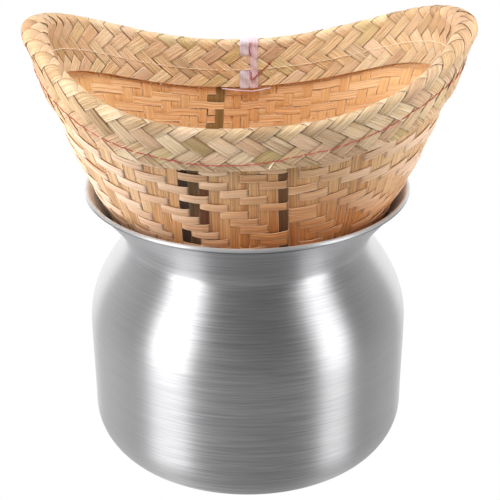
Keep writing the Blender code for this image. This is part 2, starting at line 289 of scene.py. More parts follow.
def seat_plan(angle):
    """Where the wall rests on the neck's rounding, which it meets at its own slope."""
    rise = edge_height(angle) - NECK_HEIGHT
    reach = np.linalg.norm(rim_plan(angle), axis=-1)
    lean = np.arctan2((1 + WALL_BULGE) * (reach - NECK_RADIUS), rise)
    radius = NECK_RADIUS + NECK_FILLET - NECK_ROUNDING / np.cos(lean)
    return np.stack([radius * np.sin(angle), -radius * np.cos(angle)], -1)


def base_plan(angle):
    quarter = math.radians(90)
    side = np.floor((angle + quarter / 2) / quarter) * quarter
    along = (angle - side) / (quarter / 2) * BASE_HALF_SIDE
    x = along * np.cos(side) + BASE_HALF_SIDE * np.sin(side)
    y = along * np.sin(side) - BASE_HALF_SIDE * np.cos(side)
    return np.stack([x, y], -1)


def wall_face(angle, height):
    """A point on the wall's outer face."""
    seat = seat_plan(angle)
    low = np.clip((height - BASE_HEIGHT) / (NECK_HEIGHT - BASE_HEIGHT), 0, 1)[..., None]
    high = np.maximum((height - NECK_HEIGHT) / (edge_height(angle) - NECK_HEIGHT), 0)[..., None]
    foot = base_plan(angle)
    lower = foot + (seat - foot) * (low + LOWER_BULGE * low * (1 - low))
    upper = (rim_plan(angle) - seat) * (high + WALL_BULGE * high * (1 - high))
    return np.concatenate([lower + upper, height[..., None]], -1)


def unit(vectors):
    return vectors / np.linalg.norm(vectors, axis=-1, keepdims=True)


def wall_outward(angle, height):
    lower = np.maximum(height - CLIMB_STEP, BASE_HEIGHT)
    up = wall_face(angle, height + CLIMB_STEP) - wall_face(angle, lower)
    along = wall_face(angle + TURN_STEP, height) - wall_face(angle - TURN_STEP, height)
    return unit(np.cross(along, up))


def wall_middle(angle, height, lift=0.0):
    """A point lifted outwards from the middle of the wall's thickness."""
    depth = np.asarray(lift) - WALL_MIDDLE
    return wall_face(angle, height) + wall_outward(angle, height) * depth[..., None]


front = wall_face(np.array([0.0]), np.array([0.2]))
print("the front of the wall at 200 mm is", np.round(front[0] * 1000, 1), "mm")

# %% [markdown]
# ## Strips from a grid
# Every strip of the basket starts as the same thing, a grid from the Add menu. It is copied for each
# strip, and the copy's corners are laid where that strip runs. Each one also keeps a few facts for its
# finish: its own tone, how far across it a point is, and a UV map in metres, so that the grain runs
# along it.

# %% One strip
UV_SHIFT = (7.0, 3.0)


def deselect():
    bpy.ops.object.select_all(action="DESELECT")


def points_of(mesh):
    flat = np.empty(len(mesh.vertices) * 3)
    mesh.vertices.foreach_get("co", flat)
    return flat.reshape(-1, 3)


def note(mesh, facts):
    """Keeps facts as attributes of the mesh, each one number or a number for every point."""
    for name, values in facts.items():
        values = (np.ones(len(mesh.vertices)) * values).astype(np.float32)
        mesh.attributes.new(name, "FLOAT", "POINT").data.foreach_set("value", values)


def no_facts(s, c):
    return {}


def lay_strip(grid, place, tone, size, facts=no_facts):
    """A copy of the grid, of a length and width in metres, laid by place(s, c) and noted by
    facts(s, c): s runs 0 to 1 along it and c runs -1 to 1 across."""
    strip = grid.copy()
    strip.data = grid.data.copy()
    bpy.context.scene.collection.objects.link(strip)
    mesh = strip.data
    flat = points_of(mesh)
    s = flat[:, 0] + 0.5
    c = flat[:, 1] * 2
    mesh.vertices.foreach_set("co", place(s, c).astype(np.float32).ravel())
    note(mesh, {"tone": tone, "across": np.abs(c)} | facts(s, c))
    uv = mesh.uv_layers[0].data
    loops = np.empty(len(uv) * 2)
    uv.foreach_get("uv", loops)
    loops = loops.reshape(-1, 2) * size + tone * np.array(UV_SHIFT)
    uv.foreach_set("uv", loops.astype(np.float32).ravel())
    return strip


# %% [markdown]
# ## A piece from strips
# The strips of a piece are joined and given their thickness together by a Solidify modifier. Points on
# the wall's inside are marked, as it has another finish. Then the piece is tied to the CAD body that it
# moves with, and the CAD nodes that it stands for are hidden.

# %% One piece
SMOOTH_STRIP = math.radians(40)


def make_piece(name, faces, lay, items, thickness):
    """One piece from a strip for each item, laid from a grid of so many faces along and across."""
    deselect()
    bpy.ops.mesh.primitive_grid_add(x_subdivisions=faces[0], y_subdivisions=faces[1], size=1)
    grid = bpy.context.object
    strips = [lay(grid, item) for item in items]
    bpy.data.objects.remove(grid)
    deselect()
    for strip in strips:
        strip.select_set(True)
    bpy.context.view_layer.objects.active = strips[0]
    if len(strips) > 1:
        bpy.ops.object.join()
    piece = bpy.context.view_layer.objects.active
    piece.name = name
    piece.data.name = name
    wall = piece.modifiers.new("thickness", "SOLIDIFY")
    wall.thickness = thickness
    wall.offset = 0
    bpy.ops.object.modifier_apply(modifier=wall.name)
    bpy.ops.object.shade_smooth_by_angle(angle=SMOOTH_STRIP)
    print(name, len(piece.data.polygons), "faces")
    return piece


def mark_inner(piece):
    """Solidify lists the points of one side first, so the half nearer the axis is the inner side."""
    reach = np.linalg.norm(points_of(piece.data)[:, :2], axis=1)
    half = len(reach) // 2
    first_is_inner = reach[:half].mean() < reach[half:].mean()
    note(piece.data, {"inner": (np.arange(len(reach)) < half) == first_is_inner})


def finish_piece(piece, finish, body, slot, *nodes):
    """Gives a piece its finish, ties it to the CAD body, and hides the CAD nodes that it stands for."""
    piece.data.materials.clear()
    piece.data.materials.append(finish.material)
    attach(piece, body)
    if nodes:
        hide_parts(*nodes)


# %% [markdown]
# ## Bamboo
# Split bamboo is all fibre: fine lines along the strip, and hardly any pattern across it. So the noise
# is stretched, to about ten centimetres along and a millimetre or two across. Strips from different
# canes differ more than one strip does along its length, which is what the tone is for. The cut edges
# are paler, and a painted highlight runs along them. Steam has tinted the wall orange low down, and
# where that tint gathers in front and to the right it is also painted shade. The inside is painted
# orange, partly steamed cane and partly painted light for the light that comes through the thin strips.
# Painted shade darkens the front, and a round is in painted shade where it goes under.

# %% Bamboo finishes
GRAIN_ALONG = 9
FINE_FIBRES = 1300
ROUND_FIBRES = 950


def grain_fields(finish, fibres):
    """A cast in broad patches, and broad and fine grain, all along the strip."""
    u, v, tone = finish.on_strip()
    broad = finish.noise((u * GRAIN_ALONG, v * fibres * 0.4, tone * 40))
    fine = finish.noise((u * GRAIN_ALONG * 1.6, v * fibres, tone * 90), roughness=0.6)
    patch = finish.noise((u * 16, v * 60, tone * 15), detail=1.0)
    cast = tone * 0.55 + finish.clamped(patch, 0.3, 0.7) * 0.45
    return cast, finish.clamped(broad, 0.3, 0.7), finish.clamped(fine, 0.35, 0.65)


def bamboo(name, pale, middle, dark, steam_and_shade_tint, pale_edge_and_highlight=0.25, fibres=FINE_FIBRES):
    finish = Finish(name, Specular_IOR_Level=0.35)
    cast, broad, fine = grain_fields(finish, fibres)
    shade = cast * 0.40 + broad * 0.18 + fine * 0.42
    colour = finish.ramp(shade, (0.12, dark), (0.5, middle), (0.88, pale))
    # warm: a steam stain low down, which towards the front is also painted shade; tan: painted shade that
    # darkens the front
    for stain_and_shade, tint in (("warm", steam_and_shade_tint), ("tan", rgb(226, 208, 182))):
        stained_and_shaded = finish.mix(1.0, colour, tint, "MULTIPLY")
        colour = finish.mix(finish.attribute(stain_and_shade), colour, stained_and_shaded)
    inner = finish.attribute("inner")
    colour = finish.wash(
        colour,
        # the inside: partly steamed cane, partly painted light for the light that comes through the thin
        # strips
        (inner * 0.75, finish.mix(shade, rgb(234, 162, 96), rgb(250, 214, 154))),
        (finish.attribute("under") * (1 - inner) * 0.85, rgb(88, 54, 32)),
        # the cut edges are paler, and a painted highlight runs along them
        (finish.clamped(finish.attribute("across"), 0.86, 1.0) * pale_edge_and_highlight, rgb(250, 225, 195)),
    )
    finish.dress(colour, 0.42 + 0.2 * fine, broad * 0.2 + fine * 0.8, 0.00028)
    return finish


standing_bamboo = bamboo(
    "standing_bamboo", rgb(242, 214, 178), rgb(225, 190, 150), rgb(172, 128, 90), rgb(236, 192, 146),
)
round_bamboo = bamboo(
    "round_bamboo", rgb(250, 232, 216), rgb(235, 206, 180), rgb(192, 148, 114), rgb(232, 188, 142),
    pale_edge_and_highlight=0.4, fibres=ROUND_FIBRES,
)

# %% [markdown]
# ## Weaving the wall
# The 88 uprights and 32 rounds pass over and under each other three at a time, a twill, and the start
# of the pattern moves on from round to round. At a few crossings the weaver slipped. Where a round is
# over, it bows outwards and the upright dips; where it goes under, they change places. Between two
# uprights the strip slopes from one to the other, so the offset is a smooth step between the states.

# %% The pattern
UPRIGHTS = 88
PER_SIDE = 22
ROUNDS = 32
HIDDEN_ROUNDS = 5
TWILL = 6
FIRST_DARK = 4
ROUND_STARTS = (0, 2, 4, 0, 2, 4, 5, 0, 1, 2)
FRONT_SLIPS = ((7, 14), (7, 17), (10, 14), (10, 17), (13, 14))
BACK_SLIPS = ((7, 58), (8, 58), (10, 58), (11, 58), (6, 59), (7, 59), (9, 59), (11, 59))
SLOPE_SHARE = 0.30
FLOAT_WEIGHTS = (1, 2, 3, 2, 1)
FULL_FLOAT = 5
random.seed(7)


def round_is_over(number, upright):
    """Rounds are counted from the top, where the braid hides the first ones, and uprights from the
    front's left corner. The pattern is written from the first dark upright."""
    start = ROUND_STARTS[(number - HIDDEN_ROUNDS) % len(ROUND_STARTS)]
    place = (upright - FIRST_DARK + UPRIGHTS // 2) % UPRIGHTS - UPRIGHTS // 2
    return (place - start) % TWILL < TWILL // 2


OVER = np.array([[1.0 if round_is_over(r, u) else -1.0 for u in range(UPRIGHTS)] for r in range(ROUNDS)])
for round_number, upright in FRONT_SLIPS + BACK_SLIPS:
    OVER[round_number, upright] *= -1


def smoothstep(x):
    x = np.clip(x, 0, 1)
    return x * x * (3 - 2 * x)


def between(states, place):
    """The state at a place, in cells, that changes smoothly half way between two cells' middles."""
    first = np.floor(place - 0.5).astype(int)
    share = smoothstep((place - 0.5 - first - SLOPE_SHARE) / (1 - 2 * SLOPE_SHARE))
    count = len(states)
    return states[first % count] * (1 - share) + states[(first + 1) % count] * share


def arching(states, place):
    """1 in the middle of a float, where a strip is over three others, and 0 where it is under."""
    soft = sum(np.roll(states, shift) * weight for shift, weight in zip(range(-2, 3), FLOAT_WEIGHTS))
    turn = (place - 0.5) % len(states)
    return np.maximum(np.interp(turn, range(len(states) + 1), np.append(soft, soft[0])), 0) / FULL_FLOAT


print("the top round's first uprights:", OVER[0, :8])

# %% [markdown]
# ## Places in the wall
# An upright's angle grows by an even step, and is then shifted: the strips in the middle of a side are
# wider than those at its corners, and all of them lean a little on their way up.

# %% Places in the wall
SIDE_SPREAD = 0.10
LEAN_AT_RIM = math.radians(-0.8)
LEAN_AT_NECK = math.radians(0.7)
LEAN_FROM = 0.35
LEAN_OVER = 0.55
STEAM_TOP = 0.252
STEAM_FADE = 0.06
STEAM_AND_SHADE_STRENGTH = 1.15
STEAM_SHADE_TOWARDS = 0.45
FRONT_SHADE_TOWARDS = 0.25


def upright_angle(place, share=0.8):
    """The angle at a place counted in uprights, at a share of the way up the wall."""
    angle = math.radians(-45) + place * math.radians(360) / UPRIGHTS
    lean = LEAN_AT_NECK + (LEAN_AT_RIM - LEAN_AT_NECK) * smoothstep((share - LEAN_FROM) / LEAN_OVER)
    return angle + SIDE_SPREAD * np.sin(4 * angle) / 4 + lean


def woven_height(angle, share):
    """Height at a share of the way from the base to the wall's edge."""
    return BASE_HEIGHT + (edge_height(angle) - BASE_HEIGHT) * share


def painted_front_shade(angle, towards=FRONT_SHADE_TOWARDS):
    """Painted shade that darkens the front of the wall, a little more to its right than to its left."""
    return (0.5 + 0.5 * np.cos(angle - towards)) ** 4


def stains_and_painted_shade(angle, height, heat):
    """Steam has tinted the wall low down, and the tint's gathering to the right of its front is painted
    shade; tan is painted shade on the front.
    """
    low = smoothstep((STEAM_TOP - height) / STEAM_FADE)
    warm = low * STEAM_AND_SHADE_STRENGTH * painted_front_shade(angle, STEAM_SHADE_TOWARDS)
    return {"warm": np.minimum(warm + heat, 1), "tan": painted_front_shade(angle)}


def own_heat():
    """Most strips have hardly any tint of their own, and a few have much."""
    return random.random() ** 3 * 0.5


front_angle = float(upright_angle(PER_SIDE / 2))
print("the middle of the front's uprights is at", round(math.degrees(front_angle), 2), "degrees")

# %% [markdown]
# ## The rounds
# One round is a strip with five faces to each upright, so that it can slope between them. Nothing in a
# hand-made basket is even: each round's width differs, and it wanders by a fraction of a millimetre on
# its way. Its ends meet behind, at another upright from round to round, so that no seam runs up the wall.

# %% Rounds
STRIP_THICKNESS = 0.0006
ROUND_SIZE = (0.62, 0.0055)
ROUND_WIDTH = 0.96
ROUND_BOW = 0.00062
ROUND_CUP = 0.00012
ARCH = 0.0008
ARCH_FALL = 0.35
SAG = 0.0004
WANDER = 0.00025
WAVES_ROUND = (5, 11, 23)
BACK_MIDDLE = PER_SIDE * 2.5
SEAM_SPREAD = 13
SEAM_GAP = 0.15
UNDER_FADE = 0.8
NECK_GUARD = 0.176
GUARD_FADE = 0.014


def free_above_neck(height):
    """The strips may only bulge where the pot's neck leaves them room."""
    return smoothstep((height - NECK_GUARD) / GUARD_FADE)


def weave_round(grid, number):
    states = OVER[number]
    width = ROUND_WIDTH * random.uniform(0.92, 1.04)
    phases = [random.uniform(0, math.tau) for _ in WAVES_ROUND]
    heat = own_heat()
    seam = BACK_MIDDLE + number * 7 % SEAM_SPREAD - SEAM_SPREAD // 2

    def place(s, c):
        place_along = seam + s * (UPRIGHTS - SEAM_GAP)
        share = 1 - (number + 0.5 - c * width / 2) / ROUNDS
        angle = upright_angle(place_along, share)
        wave = sum(np.sin(angle * k + phase) for k, phase in zip(WAVES_ROUND, phases)) * WANDER
        height = woven_height(angle, share) + wave
        over = between(states, place_along)
        arch = arching(states, place_along) * free_above_neck(height)
        lift = ROUND_BOW * over + ARCH * arch * (1 - ARCH_FALL * c * c) - ROUND_CUP * c * c
        return wall_middle(angle, height - SAG * arch, lift)

    def facts(s, c):
        angle = upright_angle(seam + s * UPRIGHTS)
        height = woven_height(angle, 1 - (number + 0.5) / ROUNDS)
        state = between(states, seam + s * (UPRIGHTS - SEAM_GAP))
        return stains_and_painted_shade(angle, height, heat) | {"under": smoothstep((1 - state) / UNDER_FADE)}

    return lay_strip(grid, place, random.random(), ROUND_SIZE, facts)


woven_rounds = make_piece("woven_rounds", (UPRIGHTS * 5, 2), weave_round, range(ROUNDS), STRIP_THICKNESS)
mark_inner(woven_rounds)
finish_piece(woven_rounds, round_bamboo, "basket", "bamboo_pale", "wall_weavers")

# %% [markdown]
# ## The uprights
# An upright is a straight strip from the base to the rim, wider at the top because it is split that
# way. It takes the opposite state of every round that it meets. Each side's pale ones are one piece.

# %% Pale uprights
UPRIGHT_SIZE = (0.18, 0.0062)
UPRIGHT_FACES = (ROUNDS * 4, 2)
UPRIGHT_WIDTH = 0.965
UPRIGHT_BOW = 0.00040
UPRIGHT_CUP = 0.00008
DARK_UPRIGHTS = {
    4: ("dark_upright_front_1", "black_bamboo"),
    5: ("dark_upright_front_2", "olive_bamboo"),
    6: ("dark_upright_front_3", "brown_bamboo"),
    14: ("dark_upright_front_4", "grey_bamboo"),
    59: ("dark_upright_back_1", "faded_bamboo"),
    58: ("dark_upright_back_2", "faded_bamboo"),
}
SIDE_NODES = {
    "front": ("uprights_front_1", "uprights_front_2", "uprights_front_3"),
    "right": ("uprights_right_1",),
    "back": ("uprights_back_1", "uprights_back_2"),
    "left": ("uprights_left_1",),
}


def weave_upright(grid, number):
    states = -OVER[:, number]
    width = UPRIGHT_WIDTH * random.uniform(0.95, 1.04)
    heat = own_heat()

    def place(s, c):
        angle = upright_angle(number + 0.5 + c * width / 2, s)
        over = between(states, np.clip((1 - s) * ROUNDS, 0.5, ROUNDS - 0.5))
        return wall_middle(angle, woven_height(angle, s), UPRIGHT_BOW * over - UPRIGHT_CUP * c * c)

    def facts(s, c):
        angle = upright_angle(number + 0.5, s)
        return stains_and_painted_shade(angle, woven_height(angle, s), heat)

    return lay_strip(grid, place, random.random(), UPRIGHT_SIZE, facts)


for side, (side_name, nodes) in enumerate(SIDE_NODES.items()):
    numbers = [n for n in range(side * PER_SIDE, (side + 1) * PER_SIDE) if n not in DARK_UPRIGHTS]
    piece = make_piece(f"uprights_{side_name}", UPRIGHT_FACES, weave_upright, numbers, STRIP_THICKNESS)
    mark_inner(piece)
    finish_piece(piece, standing_bamboo, "basket", "bamboo_pale", *nodes)

# %% [markdown]
# ## The dark uprights
# Six uprights are from darker cane, and each is a piece of its own. No two in front are the same
# shade, and the two at the back have faded.

# %% Dark uprights
DARK_SHADES = {
    "black_bamboo": (rgb(80, 58, 42), rgb(56, 38, 26), rgb(36, 22, 14)),
    "olive_bamboo": (rgb(130, 104, 70), rgb(104, 80, 50), rgb(72, 52, 30)),
    "brown_bamboo": (rgb(130, 84, 52), rgb(108, 66, 38), rgb(78, 42, 22)),
    "grey_bamboo": (rgb(138, 106, 70), rgb(112, 82, 52), rgb(80, 56, 34)),
    "faded_bamboo": (rgb(168, 138, 92), rgb(142, 114, 70), rgb(112, 84, 50)),
}
DARK_FINISHES = {
    name: bamboo(name, *shades, rgb(220, 200, 180), pale_edge_and_highlight=0.12) for name, shades in DARK_SHADES.items()
}
for number, (node, shade_name) in DARK_UPRIGHTS.items():
    strip_name = node.replace("upright", "strip")
    piece = make_piece(strip_name, UPRIGHT_FACES, weave_upright, [number], STRIP_THICKNESS)
    finish_piece(piece, DARK_FINISHES[shade_name], "basket", "bamboo_dark", node)

# %% [markdown]
# ## The base
# The uprights fold in under the basket and cross there, 22 from each pair of sides. The lengthwise ones
# go in pairs, over one crosswise strip and under the next.

# %% Base
BASE_REACH = 0.0536
BASE_MIDDLE = 0.1062
BASE_BOW = 0.0004
BASE_SIZE = (0.107, 0.0047)
BASE_STRIP_WIDTH = 0.92
BASE_THICKNESS = 0.0005
BASE_WARMTH = 0.7


def base_crossing(lengthwise, crosswise):
    """1 where the lengthwise strip lies above the crosswise one, -1 where it lies below."""
    return 1.0 if (lengthwise + crosswise * 2) % 4 < 2 else -1.0


def weave_base(grid, item):
    number, crosswise = item
    centre = (number + 0.5) / PER_SIDE * 2 - 1
    half = BASE_STRIP_WIDTH / PER_SIDE
    others = range(PER_SIDE)
    if crosswise:
        states = -np.array([base_crossing(other, number) for other in others])
    else:
        states = np.array([base_crossing(number, other) for other in others])

    def place(s, c):
        along = (s * 2 - 1) * BASE_REACH
        across = (centre + c * half) * BASE_REACH
        height = BASE_MIDDLE + BASE_BOW * between(states, np.clip(s * PER_SIDE, 0.5, PER_SIDE - 0.5))
        pair = (along, across) if crosswise else (across, along)
        return np.stack([*pair, height], -1)

    return lay_strip(grid, place, random.random(), BASE_SIZE, lambda s, c: {"warm": BASE_WARMTH})


for crosswise, node in ((False, "base_strips_lengthwise"), (True, "base_strips_crosswise")):
    items = [(number, crosswise) for number in range(PER_SIDE)]
    name = node.replace("strips", "weave")
    piece = make_piece(name, (PER_SIDE * 4, 2), weave_base, items, BASE_THICKNESS)
    finish_piece(piece, standing_bamboo, "basket", "bamboo_pale", node)

# %% [markdown]
# ## The surface of the braid
# A flat braid is folded over the wall's top edge and sewn through. Its surface is a half round crown
# with a leaf down each side. A point on it is given by an angle round the basket and by a distance
# from the crown's top, negative outside and positive inside.

# %% Braid surface
LEAF_SHARPNESS = 2.5
OUTER_LEAF_DROP = 0.028
INNER_LEAF_DROP = 0.035
TIP_OUTER_EXTRA = 0.016
TIP_INNER_EXTRA = 0.010
CROWN_RADIUS = 0.0024
TIP_FULLNESS = 0.0062
TIP_SINK = 0.0016
TIP_LEAF_FULLNESS = 0.0025
LEAF_LIFT = 0.0021
CROWN_FADE = 0.008


def crown_radius(angle):
    return CROWN_RADIUS + TIP_FULLNESS * tipness(angle)


def crown_centre(angle):
    """Height of the crown's centre, and the direction that the wall climbs in there."""
    height = crown_height(angle) - crown_radius(angle) - TIP_SINK * tipness(angle, LEAF_SHARPNESS)
    climb = unit(wall_face(angle, height) - wall_face(angle, height - CLIMB_STEP))
    return height, climb


def leaf_reach(angle, inside):
    """The distance from the crown's top to a leaf's lower edge."""
    height, climb = crown_centre(angle)
    tip = tipness(angle, LEAF_SHARPNESS)
    outer = OUTER_LEAF_DROP + TIP_OUTER_EXTRA * tip
    inner = INNER_LEAF_DROP + TIP_INNER_EXTRA * tip
    drop = np.where(inside, inner, outer)
    quarter = crown_radius(angle) * math.pi / 2
    return quarter + (height - crown_height(angle) + drop) / climb[..., 2]


def braid_point(angle, distance, lift):
    """A point over the braid's surface."""
    radius = crown_radius(angle)
    height, climb = crown_centre(angle)
    turn = np.clip(distance / radius, -math.pi / 2, math.pi / 2)
    down = np.maximum(np.abs(distance) - radius * math.pi / 2, 0)
    level = height - down * climb[..., 2]
    leaf = LEAF_LIFT + TIP_LEAF_FULLNESS * tipness(angle)
    reach = leaf + (radius - leaf) * np.exp(-down / CROWN_FADE) + lift
    sideways = -wall_outward(angle, level) * (reach * np.sin(turn))[..., None]
    upward = climb * (reach * np.cos(turn))[..., None]
    return wall_middle(angle, level) + sideways + upward


RIM_ANGLES = np.linspace(0, math.tau, 2881)
crown_line = braid_point(RIM_ANGLES, np.zeros_like(RIM_ANGLES), np.zeros_like(RIM_ANGLES))
crown_steps = np.linalg.norm(np.diff(crown_line, axis=0), axis=1)
CROWN_LENGTHS = np.concatenate([[0], np.cumsum(crown_steps)])
RIM_LENGTH = CROWN_LENGTHS[-1]


def rim_angle(length):
    """The angle at a length along the crown from the front's middle."""
    return np.interp(length % RIM_LENGTH, CROWN_LENGTHS, RIM_ANGLES)


print("the crown is", round(RIM_LENGTH * 1000), "mm round")

# %% [markdown]
# ## The rows of the braid
# A flat braid shows rows of short slanting lengths that lean left and right by turns, a herringbone.
# The ends are cut along the next row's slant, and the rows are shifted by half a pitch, so that each
# end lies against the side of a neighbour. So the starts of each row's lengths come first.

# %% Braid rows
FRONT_PITCH = 0.0170
BACK_PITCH = 0.0145
TIP_PITCH_CUT = 0.0024
FRONT_SLANT = math.radians(33)
BACK_SLANT = math.radians(36)
ROW_EDGES = (-0.0292, -0.0247, -0.0172, -0.0078, 0.0008, 0.0072, 0.0173, 0.0284, 0.0362)
ROW_LEANS = (-1, 1, -1, 1, -1, 1, -1, 1)
LAST_ROW = len(ROW_LEANS) - 1


def facing(length):
    """1 at the front of the rim, 0 at the back."""
    return 0.5 + 0.5 * np.cos(rim_angle(length))


def strip_starts():
    """Places of one row's strips along the rim, widest apart at the front and closest at the tips."""
    lengths = np.linspace(0, RIM_LENGTH, 4001)
    pitch = BACK_PITCH + (FRONT_PITCH - BACK_PITCH) * facing(lengths)
    pitch = pitch - TIP_PITCH_CUT * tipness(rim_angle(lengths))
    count = np.concatenate([[0], np.cumsum(np.diff(lengths) / pitch[:-1])])
    whole = round(count[-1])
    return np.interp(np.arange(whole) * count[-1] / whole, count, lengths)


def row_starts(first_starts):
    """Each row's strips start half a strip along from the row below, plus what both lean."""
    rows = [first_starts]
    for row in range(LAST_ROW):
        last = rows[-1]
        pitch = np.diff(np.append(last, last[0] + RIM_LENGTH))
        slant = BACK_SLANT + (FRONT_SLANT - BACK_SLANT) * facing(last)
        low, middle, high = ROW_EDGES[row:row + 3]
        reach = ROW_LEANS[row] * (middle - low) + ROW_LEANS[row + 1] * (high - middle)
        rows.append(last + pitch / 2 + reach / 2 / np.tan(slant))
    return rows


ROW_STARTS = row_starts(strip_starts())
print(len(ROW_STARTS), "rows of", len(ROW_STARTS[0]), "strips")

# %% [markdown]
# ## One strip of the braid
# Each length is the part of a long strip that is on top. Both its ends dive under the next row, apart
# from those along a leaf's edge, where the strip turns back. No two are pulled quite alike.

# %% Braid strips
BRAID_STRIP_SIZE = (0.021, 0.0100)
BRAID_THICKNESS = 0.00035
BRAID_WIDTHS = (0.955, 1.0)
BRAID_SKEW = 0.0006
BRAID_RAISE = 0.0001
BRAID_SLACK = 0.0004
BRAID_LIFT = 0.0006
BRAID_DIP = 0.00062
BRAID_CUP = 0.0001
TUCK = 0.0030
DIVE = 0.0022
DIVE_EDGE = 0.0012
NEAR_SHADE = 0.35
NEAR_REACH = 0.0028
ODD_GREEN_CHANCE = 0.07
COLOURED_TIP = 5


def braid_strip(grid, item):
    row, number = item
    starts = ROW_STARTS[row]
    low, high = ROW_EDGES[row], ROW_EDGES[row + 1]
    lean = ROW_LEANS[row]
    start = starts[number]
    pitch = (starts[(number + 1) % len(starts)] - start) % RIM_LENGTH
    front_here = float(facing(np.array([start]))[0])
    slant = BACK_SLANT + (FRONT_SLANT - BACK_SLANT) * front_here
    width = random.uniform(*BRAID_WIDTHS)
    skew = random.uniform(-BRAID_SKEW, BRAID_SKEW)
    raise_by = random.uniform(-BRAID_RAISE, BRAID_RAISE)
    slack = random.uniform(0, BRAID_SLACK)
    hue = random.random()
    # green: the front strips' grey-green, partly their colour and partly painted shade; the peach behind
    # is partly painted light
    green = front_here * random.uniform(0.5, 1.2)
    green = min(1.0, green + (0.6 if random.random() < ODD_GREEN_CHANCE else 0))

    def places(s, c):
        """Distance from the crown's top, length along the rim, and distance from the nearer dive."""
        cut = c * pitch / 4 * math.tan(slant)
        first = low + (0 if row == 0 else cut - TUCK)
        last = high + (0 if row == LAST_ROW else cut + TUCK)
        distance = first + (last - first) * s
        along = start + lean * (distance - (low + high) / 2) / math.tan(slant)
        along = along - lean * c * width * pitch / 2 + skew * (s - 0.5)
        from_first = 1.0 if row == 0 else distance - (low + cut)
        from_last = 1.0 if row == LAST_ROW else high + cut - distance
        return distance, along, np.minimum(from_first, from_last)

    def place(s, c):
        distance, along, inset = places(s, c)
        angle = rim_angle(along)
        inside = distance > 0
        end = np.where(inside, ROW_EDGES[-1], -ROW_EDGES[0])
        scaled = distance / end * leaf_reach(angle, inside)
        top = smoothstep((inset + DIVE * 0.35) / DIVE)
        lift = BRAID_LIFT + raise_by - BRAID_DIP * (1 - top) + slack * top * np.sin(np.pi * s)
        return braid_point(angle, scaled, lift - BRAID_CUP * c * c)

    def facts(s, c):
        _, along, inset = places(s, c)
        near = NEAR_SHADE * np.exp(-np.maximum(inset, 0) / NEAR_REACH)
        dive = np.maximum(1 - smoothstep(inset / DIVE_EDGE + 0.5), near)
        tip = tipness(rim_angle(along), COLOURED_TIP)
        return {"dive": dive, "green": green, "tip": tip, "hue": hue, "side": c}

    return lay_strip(grid, place, random.random(), BRAID_STRIP_SIZE, facts)


items = [(row, number) for row, starts in enumerate(ROW_STARTS) for number in range(len(starts))]
rim_braid = make_piece("rim_braid", (12, 4), braid_strip, items, BRAID_THICKNESS)

# %% [markdown]
# ## Straw
# The braid is made of broad leaf-like strips, greyish in front and a warm peach straw behind and at the
# tips, with some pinkish and an odd olive one. The grey in front is partly the straw's colour and partly
# painted shade, the peach behind partly its colour and partly painted light, and the darker orange at
# the tips partly painted shade. They are ribbed along their length and have a dry sheen.
# One side of a strip lies in its neighbour's shade, and the other is a thin lit edge. The parts that
# dive are darkest, most of all in the shaded corner.

# %% Straw finish
RIBS_ACROSS = 1100
PEACH_SHADES = (rgb(220, 176, 126), rgb(252, 222, 174), rgb(255, 244, 216))
GREEN_SHADES = (rgb(146, 116, 83), rgb(198, 165, 127), rgb(234, 210, 179))


def straw():
    finish = Finish("braid_straw", Specular_IOR_Level=0.4)
    u, v, tone = finish.on_strip()
    ribs = finish.noise((u * 30, v * RIBS_ACROSS, tone * 60), detail=3.0, roughness=0.55)
    ribs = finish.clamped(ribs, 0.32, 0.68)
    cloud = finish.noise((u * 90, v * 160, tone * 20))
    shade = tone * 0.36 + ribs * 0.50 + finish.clamped(cloud, 0.35, 0.65) * 0.14
    peach, green = (
        finish.ramp(shade, (0.1, dark), (0.5, middle), (0.9, pale))
        for dark, middle, pale in (PEACH_SHADES, GREEN_SHADES)
    )
    hue, tip, side = (finish.attribute(name) for name in ("hue", "tip", "side"))
    corner = finish.clamped(side, 0.75, 1.0)
    colour = finish.wash(
        peach,
        (finish.attribute("green"), green),
        ((1 - finish.clamped(hue, 0.2, 0.4)) * 0.35, rgb(228, 182, 152)),
        (finish.clamped(hue, 0.88, 0.92) * 0.4, rgb(196, 176, 104)),
        # the darker orange at the tips is partly the straw's colour and partly painted shade
        (tip * 0.46, rgb(212, 160, 116)),
        (finish.clamped(side, 0.80, 1.0) * (0.55 + 0.3 * tip), rgb(140, 98, 58)),
        (finish.clamped(side, -0.80, -0.95) * 0.35, rgb(255, 236, 208)),
        (finish.attribute("dive") * (0.30 + 0.9 * corner), rgb(92, 60, 32)),
    )
    finish.dress(colour, 0.40 + 0.22 * ribs, ribs, 0.0005)
    return finish


finish_piece(rim_braid, straw(), "basket", "plait_straw", "rim_plait")

# %% [markdown]
# ## What lies under the braid
# Between the strips on top one sees the strips below them, in deep shade. A plain band of straw a
# little lower, painted the dark brown of that shade, stands for them and closes the gaps.

# %% Backing of the braid
BACKING_SIZE = (0.9, 0.06)
BACKING_SINK = 0.0005
BACKING_REACH = 0.985
BACKING_THICKNESS = 0.0004


def lay_backing(grid, tone):

    def place(s, c):
        angle = s * math.tau
        distance = c * leaf_reach(angle, c > 0) * BACKING_REACH
        return braid_point(angle, distance, np.full(len(s), -BACKING_SINK))

    return lay_strip(grid, place, tone, BACKING_SIZE)


def shadow_straw():
    finish = Finish("shadow_straw", Specular_IOR_Level=0.2)
    cloud = finish.noise(finish.node("ShaderNodeUVMap", {}, {}), 400.0, 3.0)
    # the band's dark brown is painted shade
    colour = finish.ramp(cloud, (0.3, rgb(96, 62, 32)), (0.7, rgb(142, 98, 56)))
    finish.dress(colour, 0.7 + 0.1 * cloud, cloud, 0.0002)
    return finish


backing = make_piece("braid_backing", (360, 24), lay_backing, [0.5], BACKING_THICKNESS)
finish_piece(backing, shadow_straw(), "basket", "plait_straw")

